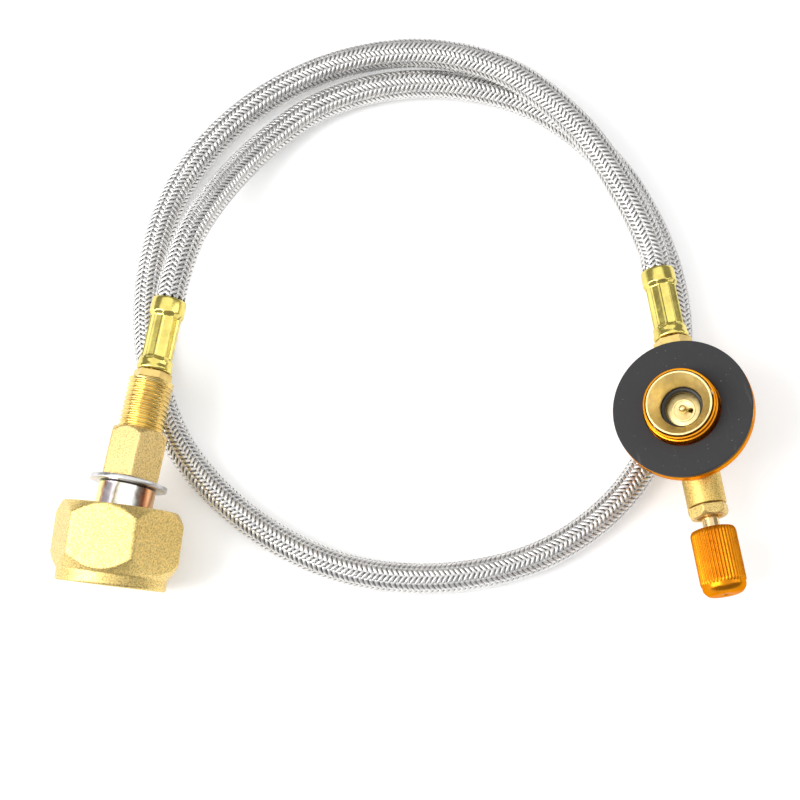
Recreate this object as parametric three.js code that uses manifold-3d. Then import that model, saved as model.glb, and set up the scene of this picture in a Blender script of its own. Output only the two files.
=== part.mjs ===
// Braided gas hose: a union nut fitting for a gas cylinder at one end, and at the other a
// screw-on canister connector with a needle valve. Millimetres, +Z up, lying on z = 0.
// Origin: on the surface, under the middle of the box round the two end fittings.

import * as THREE from 'three';
import { mergeVertices } from 'three/addons/utils/BufferGeometryUtils.js';
import Module from 'manifold-3d';

const wasm = await Module();
wasm.setup();

// ---------------------------------------------------------------- driving dimensions

const gap = 0.3; // clearance between neighbouring pieces
const joinDepth = 0.5; // how far the joined solids of one piece reach into each other
const cutPast = 1; // how far a cut runs past the face it opens

// hose
const hoseDiameter = 8;
const braidThickness = 0.45;
const linerWall = 0.95;
const hoseSides = 8;
const hoseSteps = 48;

// ferrules, both ends alike
const ferruleLength = 19.4;
const ferruleBandLength = 3;
const ferruleBandWall = 0.45; // the belled band stands this far outside the hose
const ferruleWaistDip = 0.15; // the crimped waist is this far inside the hose's surface
const ferruleRimWall = 0.65;
const ferruleRimLength = 2;
const ferruleFlare = 1; // the length over which the waist widens at each end

// hose tails, both ends alike but for the collar's length
const tailThreadRadius = 3.1;
const tailThreadLength = 7;
const tailBoreRadius = 1.1;
const tailBarbLength = 16;
const tailBarbRise = 0.25;
const tailBarbPitch = 4;
const tailCollarFlats = 8.6;
const valveTailCollarLength = 3.1;
const cylinderTailCollarLength = 1.8;
const tailSealThickness = 0.8;
const tailSealRadius = 4.6;

// valve body: a barrel along Y with an upright stub
const barrelRadius = 5;
const barrelHoseLength = 16.8; // from the socket's axis to the hose end
const barrelGlandLength = 23.6; // from the socket's axis to the gland end
const stubRadius = 7.2;
const stubHeight = 6;
const gasPassageRadius = 1.2;
const seatOrificeRadius = 1.1;
const seatDepth = 10.1; // distance of the needle's seat from the socket's axis
const seatLength = 2.5;

// canister socket, heights above the barrel's axis
const discRadius = 17.7;
const discThickness = 3.4;
const discRimChamfer = 0.4;
const bossRadius = 9.4;
const bossHeight = 6.5; // above the disc's front
const bossLipHeight = 1.4;
const bossLipStep = 0.3;
const bossGrooveDepth = 0.45;
const bossGrooveHeight = 0.5;
const padRadius = 17.6;
const padThickness = 1.6;
const bushWall = 2.75; // at the thread
const bushProud = 0.6; // the bush stands this far out of the boss
const bushMouthRadius = 7.75;
const bushMouthDepth = 3.1;
const socketThreadRadius = 5.55; // 7/16 inch thread of a screw-on canister
const plugThickness = 1.5;
const plugRadius = 4.4;
const plugRingRadius = 2.7;
const plugRingWidth = 0.5;
const plugRingHeight = 0.25;
const plugHoleRadius = 0.6;
const plugHolePlace = { x: 1.75, y: -0.45 };
const ringSeatRise = 0.5; // the o-ring's seat above the plug
const socketRingSection = 0.72; // radius of the o-ring's section
const socketRingRadius = 5.0; // radius of the o-ring's centre line
const pinRadius = 0.9;
const pinHeight = 2.7;
const pinTipRadius = 0.65;
const pinTipHeight = 0.5;
const pinSink = 1; // how far the pin is pressed into the plug

// gland, needle and knob, places along the barrel measured from the socket's axis
const glandPocketRadius = 4;
const glandPocketDepth = 4;
const glandFlats = 9.2;
const glandTurn = 25; // degrees, of the hexagon from a flat facing up
const glandHeight = 2.8;
const glandThreadLength = 2.1;
const glandRecessRadius = 3.2;
const glandRecessDepth = 0.9;
const packingThickness = 1;
const stemRadius = 2.2;
const stemThreadRadius = 2.9;
const stemThreadLength = 2.8;
const stemEndRoom = 0.5; // left between the thread and the packing with the stem right out
const stemTravelOut = 1; // how far the stem can screw out before its thread meets the packing
const stemGrooveWidth = 1.3;
const stemGrooveDepth = 1;
const stemLandLength = 0.7;
const needleLength = 3;
const needleRootRadius = 1.3;
const needleTipRadius = 0.3;
const stemRingSection = 0.4;
const knobRadius = 5.8;
const knobLength = 16.8;
const knobStandoff = 3.1; // bare stem between gland nut and knob
const knobFlutes = 40;
const knobFluteDepth = 0.3;
const knobFluteOutline = [[0, 0], [0.45, 0], [0.6, 1], [0.85, 1]]; // shares of its width and depth
const knobRimLength = 1.8;
const knobRimChamfer = 0.5;
const knobEndChamfer = 0.4;
const knobSmoothLength = 2.4; // plain chamfered end beyond the flutes
const knobEndRadius = 4.1;
const knobSocketDepth = 7.5;

// cylinder end fitting, places along its axis measured from the middle of the clamped washer
const adapterFlats = 14;
const adapterTurn = -17.5; // degrees, of the hexagon from a flat facing up
const adapterHexLength = 12.8;
const adapterThreadRadius = 5.9; // M12 thread
const adapterThreadLength = 13.5;
const adapterThreadChamfer = 0.6;
const adapterSpigotRadius = 4.8;
const adapterSpigotLength = 7.5;
const adapterBoreRadius = 2.2;
const washerRadius = 9.9;
const washerThickness = 1.2;
const nippleRadius = 7.3;
const nippleTubeLength = 11.6;
const nippleFlangeRadius = 9.6;
const nippleFlangeThickness = 2;
const nippleBoreRadius = 3;
const gasketRadius = 7;
const gasketThickness = 1.7;
const gasketSink = 0.8;
const gasketHoleRadius = 3.6;

// union nut
const nutFlats = 29;
const nutHexLength = 16.4;
const nutCollarRadius = 13.9;
const nutCollarLength = 3.6;
const nutCollarChamfer = 0.4;
const nutNeckLength = 3.5;
const nutSlackRadius = 1.6; // room round the nipple in the nut's neck, so that the nut hangs loose
const nutThreadRadius = 10.4; // W21.8 thread of a gas cylinder's valve
const thrustRingThickness = 0.8;
const nutReach = 6.1; // the nut's neck face from the washer's middle
const nutPivotReach = 11.5; // where the nut's axis crosses the fitting's axis

const chamferAngle = THREE.MathUtils.degToRad(55);

// ---------------------------------------------------------------- places and attitudes

const degrees = THREE.MathUtils.degToRad;

const valvePlace = { x: 74.4, y: 2.8 };
const valveRise = 1.5; // between the barrel and the hose that runs below it
const valveYaw = degrees(8.6);
const valvePitch = degrees(-2);
const valveLean = degrees(-18);
const fittingYaw = degrees(-10.6);
const fittingPitch = degrees(3);
const nutYaw = degrees(3.5); // the nut droops on the nipple, measured from the fitting's axis
const nutPitch = degrees(5.5);
const nutRoll = degrees(-4.5);
const nutPivotPlace = { x: -70.45, y: -26.4 };
const hoseStraight = 5.6; // straight hose out of each ferrule

// The hose's way from the valve to the cylinder fitting: x, y and lift above the surface,
// the lift counted in hose diameters. The two ends come from the ferrules.
const hoseWay = [
  [61, 65, 1.14],
  [48.5, 85.3, 1.12],
  [29.8, 101.6, 1.04],
  [6, 109.2, 0.64],
  [-20, 106.7, 0.1],
  [-43, 93.2, 0.01],
  [-59.5, 72.3, 0],
  [-66.8, 47, 0],
  [-65.8, 20.5, 0],
  [-56.8, -3, 0],
  [-38.4, -22.2, 0],
  [-14, -34.5, 0],
  [13, -36.8, 0],
  [38.3, -30.3, 0],
  [58.2, -15.2, 0],
  [70.4, 6.5, 0],
  [74.4, 31, 0],
  [70.3, 54.8, 0],
  [58.2, 77.9, 0],
  [38.2, 95.2, 0],
  [14.8, 102, 0],
  [-5.5, 101, 0.01],
  [-22.3, 95, 0.02],
  [-35, 85, 0.14],
  [-43.9, 73.9, 0.6],
  [-50.1, 62.6, 1.28],
  [-54.8, 51.2, 1.85],
];

// ---------------------------------------------------------------- materials

function finish(color, roughness, metalness) {
  return new THREE.MeshStandardMaterial({ color, roughness, metalness });
}

const sandedBrass = () => finish(0xd9bd6a, 0.55, 1);
const brightBrass = () => finish(0xe6c64f, 0.25, 1);
const zincPlate = () => finish(0xd5d2cb, 0.25, 1);
const goldAnodised = () => finish(0xe0921c, 0.35, 1);
const steelBraid = () => finish(0xb9b9bb, 0.35, 1);
const blackRubber = () => finish(0x3a3a3b, 0.8, 0);
const linerRubber = () => finish(0x1f1f20, 0.85, 0);
const packingPlastic = () => finish(0xe8e6df, 0.6, 0);

// ---------------------------------------------------------------- shape helpers

// A closed geometry as a solid for joining and cutting.
function solid(geometry) {
  const bare = geometry.index ? geometry.toNonIndexed() : geometry.clone();
  bare.deleteAttribute('normal');
  bare.deleteAttribute('uv');
  const merged = mergeVertices(bare, 1e-4);
  const vertProperties = merged.attributes.position.array;
  const triVerts = new Uint32Array(merged.index.array);
  return new wasm.Manifold(new wasm.Mesh({ numProp: 3, vertProperties, triVerts }));
}

function geometryOf(body) {
  const result = body.getMesh();
  const geometry = new THREE.BufferGeometry();
  geometry.setAttribute('position', new THREE.BufferAttribute(result.vertProperties, 3));
  geometry.setIndex(new THREE.BufferAttribute(result.triVerts, 1));
  return geometry;
}

// A body of revolution about Y. The outline is a list of [radius, y]: it closes on itself,
// or on the axis where its first and last radius are 0.
function turned(outline, sides) {
  const points = outline.map(([radius, y]) => new THREE.Vector2(radius, y));
  const onAxis = outline[0][0] === 0 && outline[outline.length - 1][0] === 0;
  if (!onAxis) points.push(points[0].clone());
  if (THREE.ShapeUtils.area(points) < 0) points.reverse();
  return new THREE.LatheGeometry(points, sides);
}

// The same, about Z.
function turnedUpright(outline, sides) {
  return turned(outline, sides).rotateX(Math.PI / 2);
}

function circle(radius, sides) {
  const points = [];
  for (let i = 0; i < sides; i++) {
    const turn = ((i + 0.5) / sides) * 2 * Math.PI;
    points.push(new THREE.Vector2(radius * Math.cos(turn), radius * Math.sin(turn)));
  }
  return points;
}

function ring(inner, outer, low, high, sides) {
  return turned([[inner, low], [outer, low], [outer, high], [inner, high]], sides);
}

function rod(radius, low, high, sides) {
  return turned([[0, low], [radius, low], [radius, high], [0, high]], sides);
}

function rodUpright(radius, low, high, sides) {
  return turnedUpright([[0, low], [radius, low], [radius, high], [0, high]], sides);
}

// A hexagon bar along Y with a flat facing +Z and -Z.
function hexBar(flats, low, high) {
  const corner = cornerOf(flats);
  const bar = new THREE.CylinderGeometry(corner, corner, high - low, 6);
  return bar.rotateY(Math.PI / 6).translate(0, (low + high) / 2, 0);
}

function cornerOf(flats) {
  return flats / 2 / Math.cos(Math.PI / 6);
}

// The length over which the turning tool cuts a hexagon's corners.
function cornerCut(flats) {
  return (cornerOf(flats) - flats / 2) * Math.tan(chamferAngle);
}

// What the turning tool leaves of a hexagon bar: at each chosen end the corners are cut back
// steeply, starting from the circle that touches the flats.
function chamferedHex(flats, low, high, cutLow, cutHigh) {
  const corner = cornerOf(flats);
  const outer = corner + cutPast;
  const reach = cornerCut(flats) + cutPast * Math.tan(chamferAngle);
  const outline = [[0, low]];
  if (cutLow) outline.push([flats / 2, low], [outer, low + reach]);
  else outline.push([outer, low]);
  if (cutHigh) outline.push([outer, high - reach], [flats / 2, high]);
  else outline.push([outer, high]);
  outline.push([0, high]);
  return solid(hexBar(flats, low, high)).intersect(solid(turned(outline, 36)));
}

function part(name, shape, material) {
  const geometry = shape.getMesh ? geometryOf(shape) : shape;
  const mesh = new THREE.Mesh(geometry, material);
  mesh.name = name;
  return mesh;
}

// ---------------------------------------------------------------- hose and its ends

const hoseRadius = hoseDiameter / 2;
const linerOuterRadius = hoseRadius - braidThickness - gap;
const linerBoreRadius = linerOuterRadius - linerWall;
const tailRadius = linerBoreRadius - gap;
const tailTipRadius = tailRadius - tailBarbRise;

// Ferrule, in a frame whose y = 0 is its rim on the fitting's side; the hose is towards +Y.
function ferrule(name) {
  const band = hoseRadius + ferruleBandWall;
  const waist = hoseRadius - ferruleWaistDip;
  const rim = hoseRadius + ferruleRimWall;
  const bore = tailRadius + gap;
  const outline = [
    [bore, 0],
    [rim, 0],
    [rim, ferruleRimLength / 2],
    [waist, ferruleRimLength + ferruleFlare],
    [waist, ferruleLength - ferruleBandLength - ferruleFlare],
    [band, ferruleLength - ferruleBandLength],
    [band, ferruleLength],
    [bore, ferruleLength],
  ];
  return part(name, turned(outline, 20), brightBrass());
}

// Hose tail in the same frame: a barb inside the ferrule, a collar below its rim and a thread.
function hoseTail(name, collarLength) {
  const collarTop = -gap;
  const collarLow = collarTop - collarLength;
  const threadLow = collarLow - tailThreadLength;
  const outline = [
    [tailBoreRadius, threadLow],
    [tailThreadRadius, threadLow],
    [tailThreadRadius, collarLow + joinDepth],
    [tailRadius, collarTop - joinDepth],
  ];
  for (let y = tailBarbPitch; y <= tailBarbLength; y += tailBarbPitch) {
    outline.push([tailRadius, y - tailBarbPitch / 2]);
    outline.push([tailTipRadius, y]);
  }
  outline.push([tailBoreRadius, tailBarbLength]);
  const core = solid(turned(outline, 16));
  const collar = solid(hexBar(tailCollarFlats, collarLow, collarTop));
  const bore = solid(rod(tailBoreRadius, threadLow - cutPast, tailBarbLength + cutPast, 16));
  return part(name, core.add(collar).subtract(bore), brightBrass());
}

// ---------------------------------------------------------------- valve end

const discBack = barrelRadius + gap;
const discFront = discBack + discThickness;
const padBack = discFront + gap;
const padFront = padBack + padThickness;
const bossTop = discFront + bossHeight;
const bushRadius = socketThreadRadius + bushWall;
const bushTop = bossTop + bushProud;
const bushLow = stubHeight + gap;
const plugTop = bushLow + plugThickness;
const ringSeat = plugTop + ringSeatRise;
const ringGrooveRadius = socketRingRadius + socketRingSection + gap;
const ringGrooveTop = ringSeat + 2 * socketRingSection + gap;
const ringHeight = ringSeat + socketRingSection + gap / 2;

const stemBoreRadius = stemThreadRadius + gap;
const stemGrooveRadius = stemThreadRadius - stemGrooveDepth;
const packingFace = -(barrelGlandLength - glandPocketDepth);
const stemThreadOuter = packingFace + stemEndRoom + stemTravelOut;
const stemThreadInner = stemThreadOuter + stemThreadLength;
const stemGrooveInner = stemThreadInner + stemGrooveWidth;
const stemLandInner = stemGrooveInner + stemLandLength;
const glandBoreRadius = stemRadius + gap;
const glandOuter = -(barrelGlandLength + gap + glandHeight);
const knobTop = glandOuter - knobStandoff;
const knobLow = knobTop - knobLength;

function valveBody() {
  const barrel = solid(rod(barrelRadius, -barrelGlandLength, barrelHoseLength, 28));
  const stub = solid(rodUpright(stubRadius, 0, stubHeight, 28));
  const upPassage = solid(rodUpright(gasPassageRadius, 0, stubHeight + cutPast, 12));
  const tailPocket = barrelHoseLength - tailThreadLength - gap;
  const cuts = [
    rod(tailThreadRadius + gap, tailPocket, barrelHoseLength + cutPast, 20),
    rod(gasPassageRadius, -seatDepth + seatLength, tailPocket + cutPast, 12),
    rod(seatOrificeRadius, -seatDepth - cutPast, 0, 12),
    rod(stemBoreRadius, packingFace - cutPast, -seatDepth, 20),
    rod(glandPocketRadius, -barrelGlandLength - cutPast, packingFace, 20),
  ];
  let body = barrel.add(stub).subtract(upPassage);
  for (const cut of cuts) body = body.subtract(solid(cut));
  return part('valve_body', body, sandedBrass());
}

function baseDisc() {
  const bore = bushRadius + gap;
  const lipLow = bossTop - bossLipHeight;
  const outline = [
    [bore, discBack],
    [discRadius - discRimChamfer, discBack],
    [discRadius, discBack + discRimChamfer],
    [discRadius, discFront - discRimChamfer],
    [discRadius - discRimChamfer, discFront],
    [bossRadius, discFront],
    [bossRadius, lipLow - bossGrooveHeight],
    [bossRadius - bossGrooveDepth, lipLow - bossGrooveHeight],
    [bossRadius - bossGrooveDepth, lipLow],
    [bossRadius - bossLipStep, lipLow],
    [bossRadius - bossLipStep, bossTop],
    [bore, bossTop],
  ];
  return part('base_disc', turnedUpright(outline, 36), goldAnodised());
}

function rubberPad() {
  const hole = bossRadius + gap;
  const outline = [[hole, padBack], [padRadius, padBack], [padRadius, padFront], [hole, padFront]];
  return part('rubber_pad', turnedUpright(outline, 36), blackRubber());
}

function threadedBush() {
  const outline = [
    [plugRadius + gap, bushLow],
    [bushRadius, bushLow],
    [bushRadius, bushTop],
    [bushMouthRadius, bushTop],
    [socketThreadRadius, bushTop - bushMouthDepth],
    [socketThreadRadius, ringGrooveTop],
    [ringGrooveRadius, ringGrooveTop],
    [ringGrooveRadius, ringSeat],
    [plugRadius + gap, ringSeat],
  ];
  return part('threaded_bush', turnedUpright(outline, 28), brightBrass());
}

// An o-ring about Y at the given place, as a ring of six-sided section.
function oRing(radius, section, y, sides) {
  const outline = [];
  for (const { x, y: height } of circle(section, 6)) outline.push([radius + x, y + height]);
  return turned(outline, sides);
}

function canisterRing() {
  const shape = oRing(socketRingRadius, socketRingSection, 0, 24);
  const mesh = part('canister_oring', shape.rotateX(Math.PI / 2), blackRubber());
  mesh.position.z = ringHeight;
  return mesh;
}

function pinPlug() {
  const ringLow = plugRingRadius - plugRingWidth / 2;
  const ringOut = plugRingRadius + plugRingWidth / 2;
  const blank = solid(turnedUpright([
    [0, bushLow],
    [plugRadius, bushLow],
    [plugRadius, plugTop],
    [ringOut, plugTop],
    [ringOut, plugTop + plugRingHeight],
    [ringLow, plugTop + plugRingHeight],
    [ringLow, plugTop],
    [0, plugTop],
  ], 24));
  const high = plugTop + cutPast;
  const gasHole = rodUpright(plugHoleRadius, bushLow - cutPast, high, 10);
  gasHole.translate(plugHolePlace.x, plugHolePlace.y, 0);
  const pinSeat = rodUpright(pinRadius + gap, plugTop - pinSink, high, 12);
  return part('pin_plug', blank.subtract(solid(gasHole)).subtract(solid(pinSeat)), brightBrass());
}

function depressorPin() {
  const low = plugTop - pinSink + gap;
  const top = plugTop + pinHeight;
  const outline = [
    [0, low],
    [pinRadius, low],
    [pinRadius, top - pinTipHeight],
    [pinTipRadius, top],
    [0, top],
  ];
  return part('depressor_pin', turnedUpright(outline, 12), brightBrass());
}

function glandNut() {
  const threadInner = -barrelGlandLength + glandThreadLength;
  const hexTop = -(barrelGlandLength + gap);
  const hex = chamferedHex(glandFlats, glandOuter, hexTop, true, false).rotate([0, glandTurn, 0]);
  const thread = solid(rod(glandPocketRadius - gap, hexTop - joinDepth, threadInner, 20));
  const bore = solid(rod(glandBoreRadius, glandOuter - cutPast, threadInner + cutPast, 20));
  const recess = solid(rod(glandRecessRadius, glandOuter - cutPast, glandOuter + glandRecessDepth, 20));
  return part('gland_nut', hex.add(thread).subtract(bore).subtract(recess), sandedBrass());
}

function glandPacking() {
  const inner = packingFace - gap;
  const shape = ring(glandBoreRadius, glandPocketRadius - gap, inner - packingThickness, inner, 20);
  return part('gland_packing', shape, packingPlastic());
}

function needleStem() {
  const end = knobTop - knobSocketDepth + gap;
  const outline = [
    [0, end],
    [stemRadius, end],
    [stemRadius, stemThreadOuter],
    [stemThreadRadius, stemThreadOuter],
    [stemThreadRadius, stemThreadInner],
    [stemGrooveRadius, stemThreadInner],
    [stemGrooveRadius, stemGrooveInner],
    [stemThreadRadius, stemGrooveInner],
    [stemThreadRadius, stemLandInner],
    [needleRootRadius, stemLandInner],
    [needleTipRadius, stemLandInner + needleLength],
    [0, stemLandInner + needleLength],
  ];
  return part('needle_stem', turned(outline, 20), brightBrass());
}

function stemRing() {
  const radius = (stemGrooveRadius + stemBoreRadius) / 2;
  const shape = oRing(radius, stemRingSection, (stemThreadInner + stemGrooveInner) / 2, 16);
  return part('stem_oring', shape, blackRubber());
}

// Knob: a fluted bar with a plain chamfered end and a blind socket for the stem.
function knob() {
  const shape = new THREE.Shape();
  const points = [];
  for (let i = 0; i < knobFlutes; i++) {
    for (const [share, depth] of knobFluteOutline) {
      const turn = ((i + share) / knobFlutes) * 2 * Math.PI;
      const radius = knobRadius - depth * knobFluteDepth;
      points.push(new THREE.Vector2(radius * Math.cos(turn), radius * Math.sin(turn)));
    }
  }
  shape.setFromPoints(points);
  const fluted = new THREE.ExtrudeGeometry(shape, { depth: knobLength, steps: 1, bevelEnabled: false });
  fluted.rotateX(-Math.PI / 2).translate(0, knobLow, 0);
  const smooth = knobLow + knobSmoothLength;
  const blank = turned([
    [0, knobLow],
    [knobEndRadius, knobLow],
    [knobRadius - knobFluteDepth, smooth - knobEndChamfer],
    [knobRadius + cutPast, smooth + cutPast],
    [knobRadius + cutPast, knobTop - knobRimLength],
    [knobRadius - knobRimChamfer, knobTop],
    [0, knobTop],
  ], 24);
  const socket = rod(stemRadius + gap, knobTop - knobSocketDepth, knobTop + cutPast, 20);
  return part('knob', solid(fluted).intersect(solid(blank)).subtract(solid(socket)), goldAnodised());
}

function valveEnd() {
  const group = new THREE.Group();
  const ferrulePlace = barrelHoseLength + gap + tailSealThickness + gap + valveTailCollarLength + gap;
  const hoseEnd = new THREE.Group();
  hoseEnd.position.y = ferrulePlace;
  hoseEnd.add(ferrule('valve_end_ferrule'), hoseTail('valve_end_hose_tail', valveTailCollarLength));
  const sealLow = barrelHoseLength + gap;
  const seal = ring(tailThreadRadius + gap, tailSealRadius, sealLow, sealLow + tailSealThickness, 20);
  group.add(
    hoseEnd,
    part('tail_seal', seal, zincPlate()),
    valveBody(),
    baseDisc(),
    rubberPad(),
    threadedBush(),
    canisterRing(),
    pinPlug(),
    depressorPin(),
    glandNut(),
    glandPacking(),
    needleStem(),
    stemRing(),
    knob(),
  );
  group.position.set(valvePlace.x, valvePlace.y, hoseDiameter + valveRise + barrelRadius);
  group.rotation.set(valvePitch, valveLean, valveYaw, 'ZXY');
  return { group, mouth: ferrulePlace + ferruleLength + gap };
}

// ---------------------------------------------------------------- cylinder end

const washerFace = washerThickness / 2;
const adapterHexLow = washerFace + gap;
const adapterHexTop = adapterHexLow + adapterHexLength;
const adapterTop = adapterHexTop + adapterThreadLength;
const nippleTop = -washerFace - gap;
const nippleFlangeTop = nippleTop - nippleTubeLength;
const nippleFace = nippleFlangeTop - nippleFlangeThickness;
const adapterSpigotLow = adapterHexLow - adapterSpigotLength;

function threadedAdapter() {
  const blank = chamferedHex(adapterFlats, adapterHexLow, adapterHexTop, false, true);
  const hex = blank.rotate([0, adapterTurn, 0]);
  const thread = solid(turned([
    [0, adapterHexTop - joinDepth],
    [adapterThreadRadius, adapterHexTop - joinDepth],
    [adapterThreadRadius, adapterTop - adapterThreadChamfer],
    [adapterThreadRadius - adapterThreadChamfer, adapterTop],
    [0, adapterTop],
  ], 28));
  const spigot = solid(rod(adapterSpigotRadius, adapterSpigotLow, adapterHexLow + joinDepth, 24));
  const pocketLow = adapterTop - tailThreadLength - gap;
  const tailPocket = rod(tailThreadRadius + gap, pocketLow, adapterTop + cutPast, 20);
  const bore = rod(adapterBoreRadius, adapterSpigotLow - cutPast, adapterTop, 16);
  const body = hex.add(thread).add(spigot).subtract(solid(tailPocket)).subtract(solid(bore));
  return part('threaded_adapter', body, sandedBrass());
}

function clampedWasher() {
  const hole = adapterSpigotRadius + gap;
  return part('flat_washer', ring(hole, washerRadius, -washerFace, washerFace, 32), zincPlate());
}

function nipple() {
  const pocketBottom = adapterSpigotLow - gap;
  const gasketPocket = gasketRadius + gap;
  const outline = [
    [adapterSpigotRadius + gap, nippleTop],
    [nippleRadius, nippleTop],
    [nippleRadius, nippleFlangeTop],
    [nippleFlangeRadius, nippleFlangeTop],
    [nippleFlangeRadius, nippleFace],
    [gasketPocket, nippleFace],
    [gasketPocket, nippleFace + gasketSink + gap],
    [nippleBoreRadius, nippleFace + gasketSink + gap],
    [nippleBoreRadius, pocketBottom],
    [adapterSpigotRadius + gap, pocketBottom],
  ];
  return part('nipple', turned(outline, 32), zincPlate());
}

function nippleGasket() {
  const top = nippleFace + gasketSink;
  const shape = ring(gasketHoleRadius, gasketRadius, top - gasketThickness, top, 28);
  return part('nipple_gasket', shape, blackRubber());
}

const nutNeckRadius = nippleRadius + nutSlackRadius;
const nutNeckFace = nutPivotReach - nutReach; // in the nut's frame, whose origin is the pivot
const nutHexEnd = nutNeckFace - nutHexLength;
const nutOpenEnd = nutHexEnd - nutCollarLength;

function unionNut() {
  const hex = chamferedHex(nutFlats, nutHexEnd, nutNeckFace, true, true);
  const collar = solid(turned([
    [0, nutOpenEnd],
    [nutCollarRadius - nutCollarChamfer, nutOpenEnd],
    [nutCollarRadius, nutOpenEnd + nutCollarChamfer],
    [nutCollarRadius, nutHexEnd + joinDepth],
    [0, nutHexEnd + joinDepth],
  ], 36));
  const neckLow = nutNeckFace - nutNeckLength;
  const neck = solid(rod(nutNeckRadius, neckLow - cutPast, nutNeckFace + cutPast, 32));
  const cavity = solid(rod(nutThreadRadius, nutOpenEnd - cutPast, neckLow, 32));
  return part('union_nut', hex.add(collar).subtract(neck).subtract(cavity), sandedBrass());
}

function thrustRing() {
  const high = nutNeckFace - nutNeckLength - gap;
  const shape = ring(nutNeckRadius, nutThreadRadius - gap, high - thrustRingThickness, high, 32);
  return part('thrust_ring', shape, packingPlastic());
}

function cylinderEnd() {
  const group = new THREE.Group();
  const ferrulePlace = adapterTop + gap + cylinderTailCollarLength + gap;
  const hoseEnd = new THREE.Group();
  hoseEnd.position.y = ferrulePlace;
  hoseEnd.add(ferrule('cylinder_end_ferrule'), hoseTail('cylinder_end_hose_tail', cylinderTailCollarLength));
  const fitting = new THREE.Group();
  fitting.position.y = nutPivotReach;
  fitting.add(hoseEnd, threadedAdapter(), clampedWasher(), nipple(), nippleGasket());
  const nut = new THREE.Group();
  nut.rotation.set(nutPitch, nutRoll, nutYaw, 'ZXY');
  nut.add(unionNut(), thrustRing());
  group.add(fitting, nut);
  group.rotation.set(fittingPitch, 0, fittingYaw, 'ZXY');
  group.updateMatrixWorld(true);
  // The nut stands on the lowest corner of its hexagon.
  const lowest = new THREE.Box3().setFromObject(nut, true).min.z;
  group.position.set(nutPivotPlace.x, nutPivotPlace.y, -lowest);
  return { group, mouth: nutPivotReach + ferrulePlace + ferruleLength + gap };
}

// ---------------------------------------------------------------- the hose's way

// A point on an end fitting's axis, in the object's frame.
function onAxis(end, y) {
  end.group.updateMatrixWorld(true);
  return new THREE.Vector3(0, y, 0).applyMatrix4(end.group.matrix);
}

function hosePath(valve, cylinder) {
  const points = [onAxis(valve, valve.mouth), onAxis(valve, valve.mouth + hoseStraight)];
  for (const [x, y, lift] of hoseWay) {
    points.push(new THREE.Vector3(x, y, hoseRadius + lift * hoseDiameter));
  }
  points.push(onAxis(cylinder, cylinder.mouth + hoseStraight), onAxis(cylinder, cylinder.mouth));
  return new THREE.CatmullRomCurve3(points, false, 'centripetal');
}

function tubeAlong(path, outer, inner) {
  const section = new THREE.Shape(circle(outer, hoseSides));
  section.holes.push(new THREE.Path(circle(inner, hoseSides)));
  return new THREE.ExtrudeGeometry(section, { steps: hoseSteps, extrudePath: path, bevelEnabled: false });
}

// ---------------------------------------------------------------- the object

const valve = valveEnd();
const cylinder = cylinderEnd();
const path = hosePath(valve, cylinder);

const object = new THREE.Group();
object.add(
  valve.group,
  cylinder.group,
  part('hose_braid', tubeAlong(path, hoseRadius, hoseRadius - braidThickness), steelBraid()),
  part('hose_liner', tubeAlong(path, linerOuterRadius, linerBoreRadius), linerRubber()),
);

export default object;
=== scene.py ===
import math
import bmesh
import bpy
import numpy as np
from mathutils import Matrix, Vector


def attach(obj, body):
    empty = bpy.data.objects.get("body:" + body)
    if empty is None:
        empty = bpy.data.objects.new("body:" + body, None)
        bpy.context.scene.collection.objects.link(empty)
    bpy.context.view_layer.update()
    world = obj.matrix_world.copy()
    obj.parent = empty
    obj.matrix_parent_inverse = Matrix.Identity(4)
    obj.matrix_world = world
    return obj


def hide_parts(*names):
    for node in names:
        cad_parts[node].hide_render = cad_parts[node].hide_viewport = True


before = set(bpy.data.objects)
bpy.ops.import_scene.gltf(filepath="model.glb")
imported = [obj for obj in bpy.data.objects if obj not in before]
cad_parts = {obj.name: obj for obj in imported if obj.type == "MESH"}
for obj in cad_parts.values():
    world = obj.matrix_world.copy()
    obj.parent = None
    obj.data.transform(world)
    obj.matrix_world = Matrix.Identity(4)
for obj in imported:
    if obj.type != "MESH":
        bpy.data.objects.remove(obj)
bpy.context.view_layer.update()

bpy.context.scene.view_settings.view_transform = "Standard"

# ---------------------------------------------------------------- the bench
# A plain pale bench top in a pale room, under soft lamps: a long one on the left that the flats
# and turned faces mirror, a weaker one on the right, and a large one overhead. The bench top
# glows a little, which keeps it near white where the lamps fall off.


def bench_paint(name, color, roughness, glow):
    material = bpy.data.materials.new(name)
    material.use_nodes = True
    shader = material.node_tree.nodes["Principled BSDF"]
    shader.inputs["Base Color"].default_value = (*color, 1)
    shader.inputs["Roughness"].default_value = roughness
    shader.inputs["Emission Color"].default_value = (*color, 1)
    shader.inputs["Emission Strength"].default_value = glow
    return material


bench_size = 6.0
bpy.ops.mesh.primitive_plane_add(size=bench_size, location=(0, 0, 0))
bench = bpy.context.object
bench.name = "bench_top"
bench.data.materials.append(bench_paint("bench_white", (0.88, 0.88, 0.88), 0.85, 0.3))

room = bpy.data.worlds.new("pale_room")
room.use_nodes = True
room_light = room.node_tree.nodes["Background"]
room_light.inputs["Color"].default_value = (1.0, 1.0, 1.0, 1)
room_light.inputs["Strength"].default_value = 0.32
bpy.context.scene.world = room


def lamp(name, place, aim, width, height, power):
    light = bpy.data.lights.new(name, "AREA")
    light.shape = "RECTANGLE"
    light.size = width
    light.size_y = height
    light.energy = power
    holder = bpy.data.objects.new(name, light)
    holder.location = place
    holder.rotation_euler = (Vector(aim) - Vector(place)).to_track_quat("-Z", "Y").to_euler()
    bpy.context.collection.objects.link(holder)


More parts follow.
